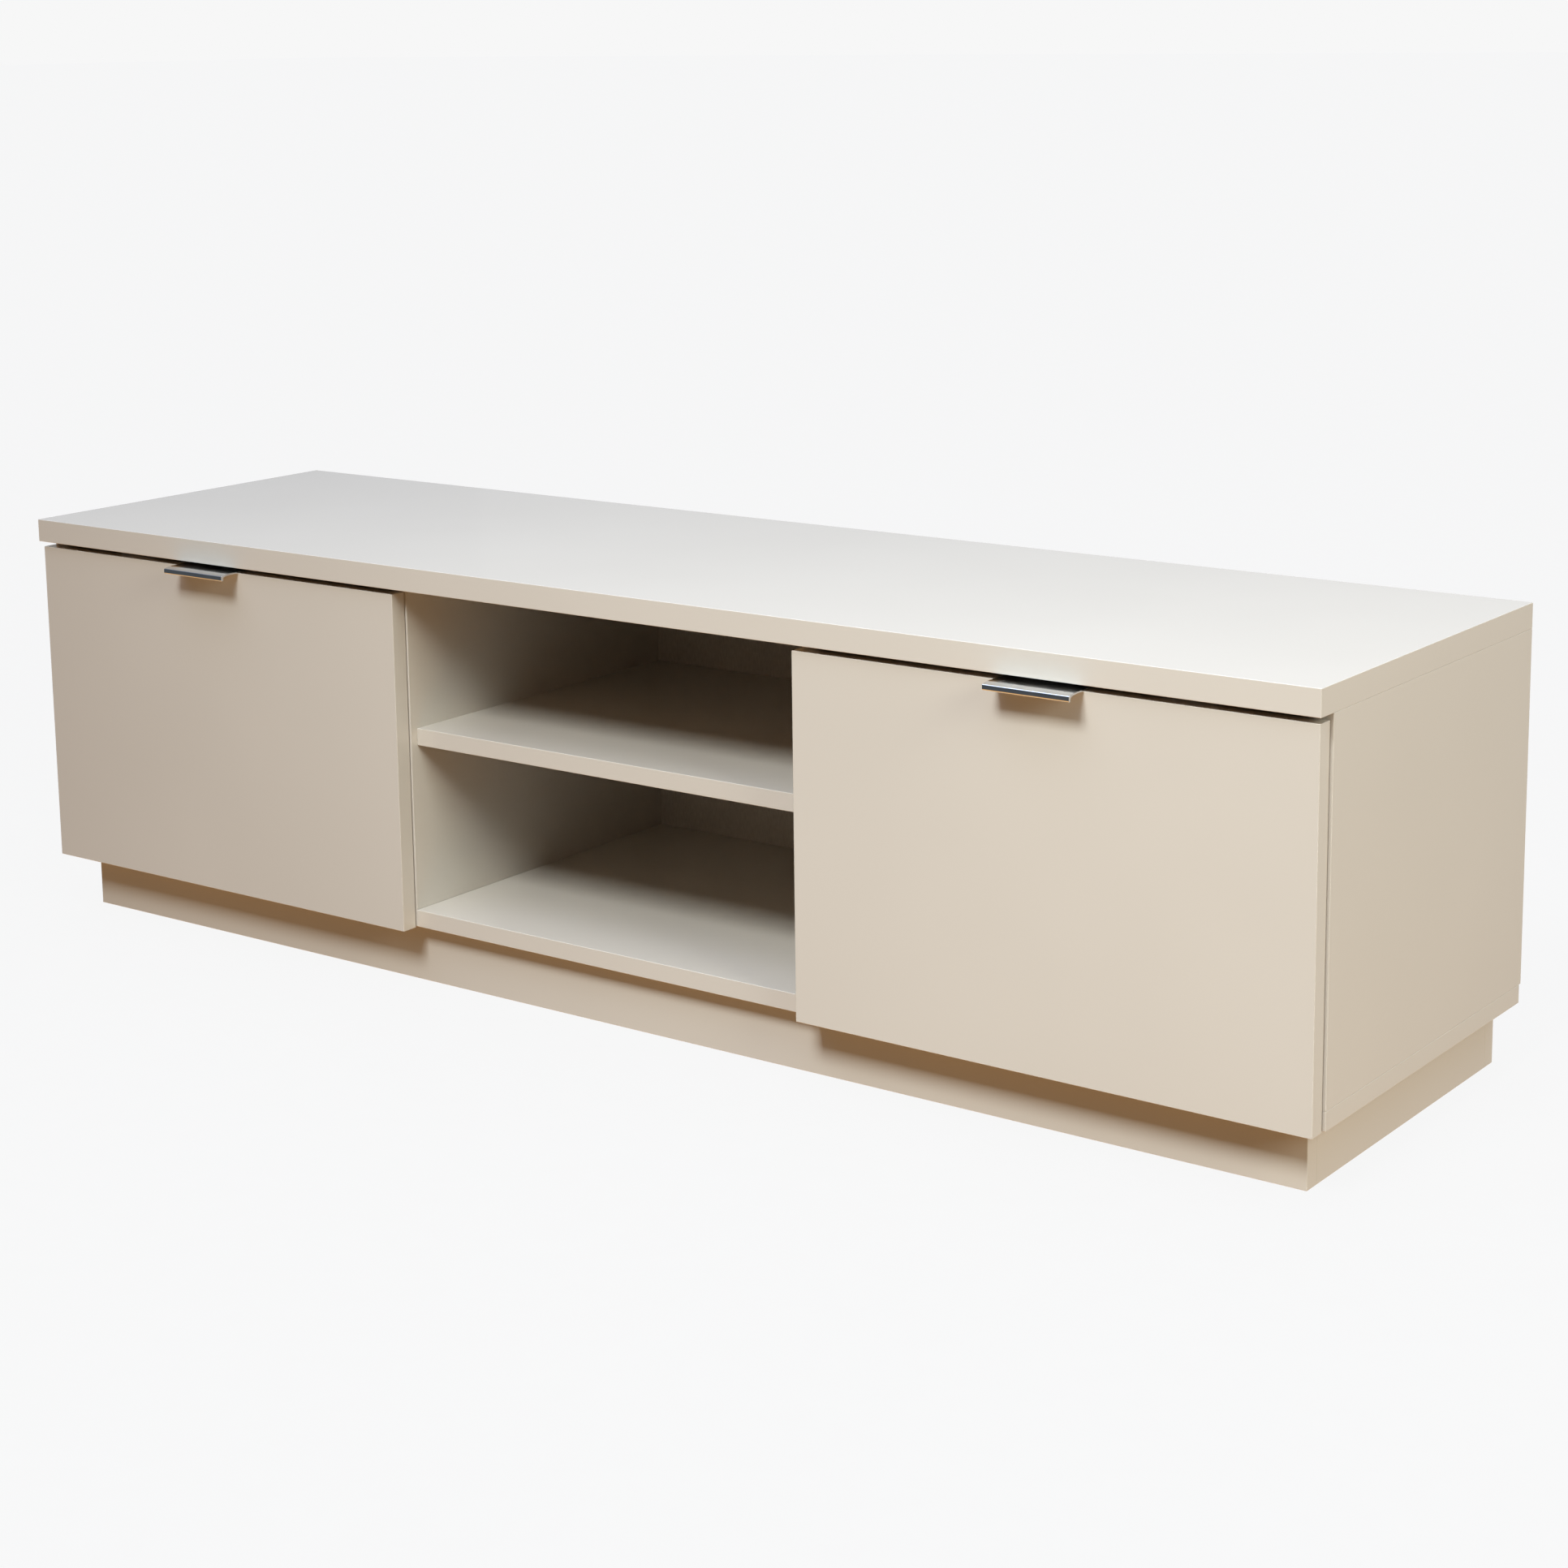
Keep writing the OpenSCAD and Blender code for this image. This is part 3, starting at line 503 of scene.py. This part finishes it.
def spread(tree, inputs, solid):
    """Puts the solid on every point, facing along the point's own direction and turned at random
    about it."""
    facing = add(tree, "GeometryNodeInputNamedAttribute", {"Name": "facing"}, data_type="FLOAT_VECTOR")
    aligned = add(tree, "FunctionNodeAlignRotationToVector", {"Vector": facing.outputs["Attribute"]},
                  axis="Z")
    turn = add(tree, "FunctionNodeRandomValue", {"Max": math.tau, "Seed": SEED}, data_type="FLOAT")
    spin = add(tree, "FunctionNodeAxisAngleToRotation", {"Axis": (0, 0, 1), "Angle": turn.outputs[1]})
    turned = add(tree, "FunctionNodeRotateRotation",
                 {"Rotation": aligned.outputs[0], "Rotate By": spin.outputs[0]}, rotation_space="LOCAL")
    dressed = add(tree, "GeometryNodeInstanceOnPoints",
                  {"Points": inputs["Points"], "Instance": solid, "Rotation": turned.outputs[0]})
    real = add(tree, "GeometryNodeRealizeInstances", {"Geometry": dressed.outputs["Instances"]})
    coated = add(tree, "GeometryNodeSetMaterial",
                 {"Geometry": real.outputs["Geometry"], "Material": inputs["Finish"]})
    add(tree, "NodeGroupOutput", {"Pieces": coated.outputs["Geometry"]})
    return tree


def screw_tree():
    """Pan-head wood screws: a domed head with a cross recess, on a plain shank."""
    tree, inputs = new_tree("wood_screws", ["Head diameter", "Head height", "Shank diameter", "Shank length"])
    head_r = maths(tree, "MULTIPLY", inputs["Head diameter"], 0.5)
    rim_h = maths(tree, "MULTIPLY", inputs["Head height"], 0.4)
    dome_h = maths(tree, "MULTIPLY", inputs["Head height"], 0.6)
    crown_r = maths(tree, "MULTIPLY", head_r, 0.62)
    shank_r = maths(tree, "MULTIPLY", inputs["Shank diameter"], 0.5)
    rim = add(tree, "GeometryNodeMeshCylinder", {"Vertices": 20, "Radius": head_r,
                                                 "Depth": rim_h}).outputs["Mesh"]
    dome = add(tree, "GeometryNodeMeshCone", {"Vertices": 20, "Radius Top": crown_r, "Radius Bottom": head_r,
                                              "Depth": dome_h}).outputs["Mesh"]
    shank = add(tree, "GeometryNodeMeshCylinder", {"Vertices": 12, "Radius": shank_r,
                                                   "Depth": inputs["Shank length"]}).outputs["Mesh"]
    half_rim = maths(tree, "MULTIPLY", rim_h, 0.5)
    half_shank = maths(tree, "MULTIPLY", inputs["Shank length"], -0.5)
    body = united(tree, [moved_up(tree, rim, half_rim), moved_up(tree, dome, rim_h),
                         moved_up(tree, shank, half_shank)])
    across = maths(tree, "MULTIPLY", head_r, 0.95)
    bit = cross_recess(tree, across, 2 * SCREW_RECESS_DEPTH, SCREW_RECESS_WIDTH)
    return spread(tree, inputs, cut_away(tree, body, moved_up(tree, bit, inputs["Head height"])))


def cam_tree():
    """Cam locks: a cast drum flush with the board, with a chamfered rim and a cross recess."""
    tree, inputs = new_tree("cam_drums", ["Drum diameter", "Drum depth"])
    drum_r = maths(tree, "MULTIPLY", inputs["Drum diameter"], 0.5)
    face_r = maths(tree, "SUBTRACT", drum_r, CAM_CHAMFER)
    barrel_h = maths(tree, "SUBTRACT", inputs["Drum depth"], CAM_CHAMFER)
    barrel = add(tree, "GeometryNodeMeshCylinder", {"Vertices": 36, "Radius": drum_r,
                                                    "Depth": barrel_h}).outputs["Mesh"]
    face = add(tree, "GeometryNodeMeshCone", {"Vertices": 36, "Radius Top": face_r, "Radius Bottom": drum_r,
                                              "Depth": CAM_CHAMFER}).outputs["Mesh"]
    middle = maths(tree, "SUBTRACT", maths(tree, "MULTIPLY", barrel_h, -0.5), CAM_CHAMFER)
    body = united(tree, [moved_up(tree, barrel, middle), moved_up(tree, face, -CAM_CHAMFER)])
    across = maths(tree, "MULTIPLY", drum_r, 1.05)
    bit = cross_recess(tree, across, 2 * CAM_RECESS_DEPTH, CAM_RECESS_WIDTH)
    return spread(tree, inputs, cut_away(tree, body, bit))


def dressed_points(name, seats, tree, sizes, node):
    """Runs a tree on a set of seats and facings, and keeps the result as one plain mesh."""
    mesh = bpy.data.meshes.new(name)
    mesh.from_pydata([tuple(at) for at, _ in seats], [], [])
    way = mesh.attributes.new("facing", "FLOAT_VECTOR", "POINT")
    for i, (_, facing) in enumerate(seats):
        way.data[i].vector = facing
    piece = bpy.data.objects.new(name, mesh)
    bpy.context.scene.collection.objects.link(piece)
    maker = piece.modifiers.new("maker", "NODES")
    maker.node_group = tree
    sizes = {**sizes, "Finish": FINISHES[SLOT_OF[node]]}
    for item in tree.interface.items_tree:
        if item.in_out == "INPUT" and item.name in sizes:
            maker[item.identifier] = sizes[item.name]
    return stands_for(baked_down(piece), node)


SCREW_NODES = [
    "back_screws", "plinth_screws", "plate_screws", "stay_screws", "catch_screws",
    "handle_screws_left", "handle_screws_right", "cup_screws_left", "cup_screws_right",
    "clip_screws_left", "clip_screws_right",
]
screws = screw_tree()
for node in SCREW_NODES:
    found = [screw_seat(points) for points in islands(node)]
    sizes = {"Head diameter": HEAD_D, "Head height": HEAD_H,
             "Shank diameter": SHANK_D, "Shank length": found[0][2]}
    dressed_points(node + "_set", [(seat, facing) for seat, facing, _ in found], screws, sizes, node)

cam_seats = []
for points in islands("cam_locks"):
    low, high = box_of(points)
    centre = (low + high) / 2
    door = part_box("door_left" if centre.x < 0 else "door_right")
    into_bay = (door[0].x + door[1].x) / 2 > centre.x
    face_x = high.x if into_bay else low.x
    cam_seats.append((Vector((face_x, centre.y, centre.z)), Vector((1 if into_bay else -1, 0, 0))))
dressed_points("cam_lock_drums", cam_seats, cam_tree(), {"Drum diameter": CAM_D, "Drum depth": CAM_DEPTH},
               "cam_locks")


# ---- floor, light and camera ----

FLOOR_HALF = 60.0
FLOOR_GLOW = 0.90
BACKGROUND = "#f7f7f7"
WALL_SEAM = math.radians(42.3)   # left of straight back, where two sheets of the wall behind meet
WALL_PAST_SEAM = 0.93            # how much of its light the wall keeps to the left of that seam
# The room's light from each side, as linear red, green and blue. It isn't neutral: it is cool
# from above and strongly warm from below
FRONT_LIGHT = (0.08, 0.09, 0.10)
RIGHT_LIGHT = (0.10, 0.10, 0.09)
BACK_LIGHT = (0.42, 0.42, 0.41)
CEILING_LIGHT = (2.5, 2.8, 3.6)
BELOW_LIGHT = (1.22, 0.68, 0.25)


def floor_finish():
    """Matt studio floor: a near-black base under an even white glow, so that it looks white and
    only a faint contact shadow falls on it."""
    finish, tree, place, shader = new_finish("backlit_studio_floor", roughness=1.0, specular_ior_level=0.0,
                                             emission_strength=FLOOR_GLOW)
    stipple = add(tree, "ShaderNodeTexNoise", {"Vector": place, "Scale": 1 / (30 * MM), "Detail": 3.0})
    tree.links.new(two_tone(tree, stipple.outputs["Fac"], "#242322", "#262524"), shader.inputs["Base Color"])
    shader.inputs["Emission Color"].default_value = linear("#ffffff")
    finish.cycles.emission_sampling = "NONE"
    return finish


floor_mesh = bpy.data.meshes.new("studio_floor")
floor_mesh.from_pydata([(-FLOOR_HALF, -FLOOR_HALF, 0), (FLOOR_HALF, -FLOOR_HALF, 0),
                        (FLOOR_HALF, FLOOR_HALF, 0), (-FLOOR_HALF, FLOOR_HALF, 0)], [], [(0, 1, 2, 3)])
floor_mesh.materials.append(floor_finish())
floor = bpy.data.objects.new("studio_floor", floor_mesh)
bpy.context.scene.collection.objects.link(floor)
# The floor doesn't light the bench, show in its gloss or shade it, so the light that the room
# gives from below reaches the bench through it
floor.visible_diffuse = False
floor.visible_glossy = False
floor.visible_shadow = False
floor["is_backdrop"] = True


def softbox(name, at, target, size, watts, colour, beam):
    """A rectangular softbox that looks at a point, with a grid that narrows its beam to so many
    degrees."""
    lamp = bpy.data.lights.new(name, "AREA")
    lamp.shape = "RECTANGLE"
    lamp.size, lamp.size_y = size
    lamp.energy = watts
    lamp.color = colour
    lamp.spread = math.radians(beam)
    box = bpy.data.objects.new(name, lamp)
    box.location = at
    box.rotation_euler = (Vector(target) - Vector(at)).to_track_quat("-Z", "Y").to_euler()
    bpy.context.scene.collection.objects.link(box)


softbox("front_softbox", at=(0.5, -3.2, 3.6), target=(0.6, -0.15, 0.2), size=(1.5, 1.1),
        watts=24.5, colour=(0.92, 1.0, 1.04), beam=55)
softbox("side_softbox", at=(3.2, -0.9, 1.7), target=(0.6, 0.0, 0.2), size=(1.2, 1.2),
        watts=31.0, colour=(0.94, 1.0, 0.93), beam=120)


def blended(tree, share, first, second):
    """The first colour, going over to the second as the share goes from 0 to 1."""
    return add(tree, "ShaderNodeMix", {0: share, 6: first, 7: second}, data_type="RGBA").outputs[2]


def rising(tree, value, start, end):
    """Runs smoothly from 0 to 1 as the value goes from start to end."""
    return add(tree, "ShaderNodeMapRange", {"Value": value, "From Min": start, "From Max": end},
               interpolation_type="SMOOTHSTEP").outputs["Result"]


def white_studio():
    """The light of a room: a white wall behind, a dimmer room in front, a bright cool ceiling and
    warm light from below. The camera itself sees one plain white."""
    room = bpy.data.worlds.new("white_studio")
    room.use_nodes = True
    sky = room.node_tree
    sky.nodes.clear()
    direction = add(sky, "ShaderNodeTexCoord").outputs["Generated"]
    way = add(sky, "ShaderNodeSeparateXYZ", {"Vector": direction}).outputs
    past_seam = maths(sky, "ADD", maths(sky, "MULTIPLY", way["X"], math.cos(WALL_SEAM)),
                      maths(sky, "MULTIPLY", way["Y"], math.sin(WALL_SEAM)))
    left_sheet = [WALL_PAST_SEAM * c for c in BACK_LIGHT]
    backdrop = blended(sky, rising(sky, past_seam, -0.002, 0.002), (*left_sheet, 1), (*BACK_LIGHT, 1))
    front = blended(sky, rising(sky, way["X"], 0.3, 0.8), (*FRONT_LIGHT, 1), (*RIGHT_LIGHT, 1))
    walls = blended(sky, rising(sky, way["Y"], 0.2, 0.5), front, backdrop)
    upper = blended(sky, rising(sky, way["Z"], 0.6, 0.96), walls, (*CEILING_LIGHT, 1))
    everything = blended(sky, rising(sky, way["Z"], -0.8, -0.2), (*BELOW_LIGHT, 1), upper)
    light = add(sky, "ShaderNodeBackground", {"Color": everything})
    seen = add(sky, "ShaderNodeBackground", {"Color": linear(BACKGROUND)})
    by_camera = add(sky, "ShaderNodeLightPath").outputs["Is Camera Ray"]
    shown = add(sky, "ShaderNodeMixShader", {0: by_camera, 1: light.outputs[0], 2: seen.outputs[0]})
    add(sky, "ShaderNodeOutputWorld", {"Surface": shown.outputs[0]})
    return room


bpy.context.scene.world = white_studio()

view = bpy.context.scene.view_settings
view.view_transform = "Standard"
view.look = "None"

AZIMUTH, ELEVATION, ROLL = (math.radians(a) for a in (36.446, 10.366, -0.728))
EYE = (1.6399, -2.1074, 0.8783)
flat = math.cos(ELEVATION)
back = Vector((math.sin(AZIMUTH) * flat, -math.cos(AZIMUTH) * flat, math.sin(ELEVATION)))
right = (-back).cross(Vector((0, 0, 1))).normalized()
up = right.cross(-back)
across = right * math.cos(ROLL) + up * math.sin(ROLL)
upward = up * math.cos(ROLL) - right * math.sin(ROLL)
lens = bpy.data.cameras.new("camera")
lens.sensor_width = 36
lens.lens = 68.78
lens.shift_y = -0.1377
lens.clip_end = 200
camera = bpy.data.objects.new("camera", lens)
camera.matrix_world = Matrix.Translation(EYE) @ Matrix((across, upward, back)).transposed().to_4x4()
bpy.context.scene.collection.objects.link(camera)
bpy.context.scene.camera = camera

low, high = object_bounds()
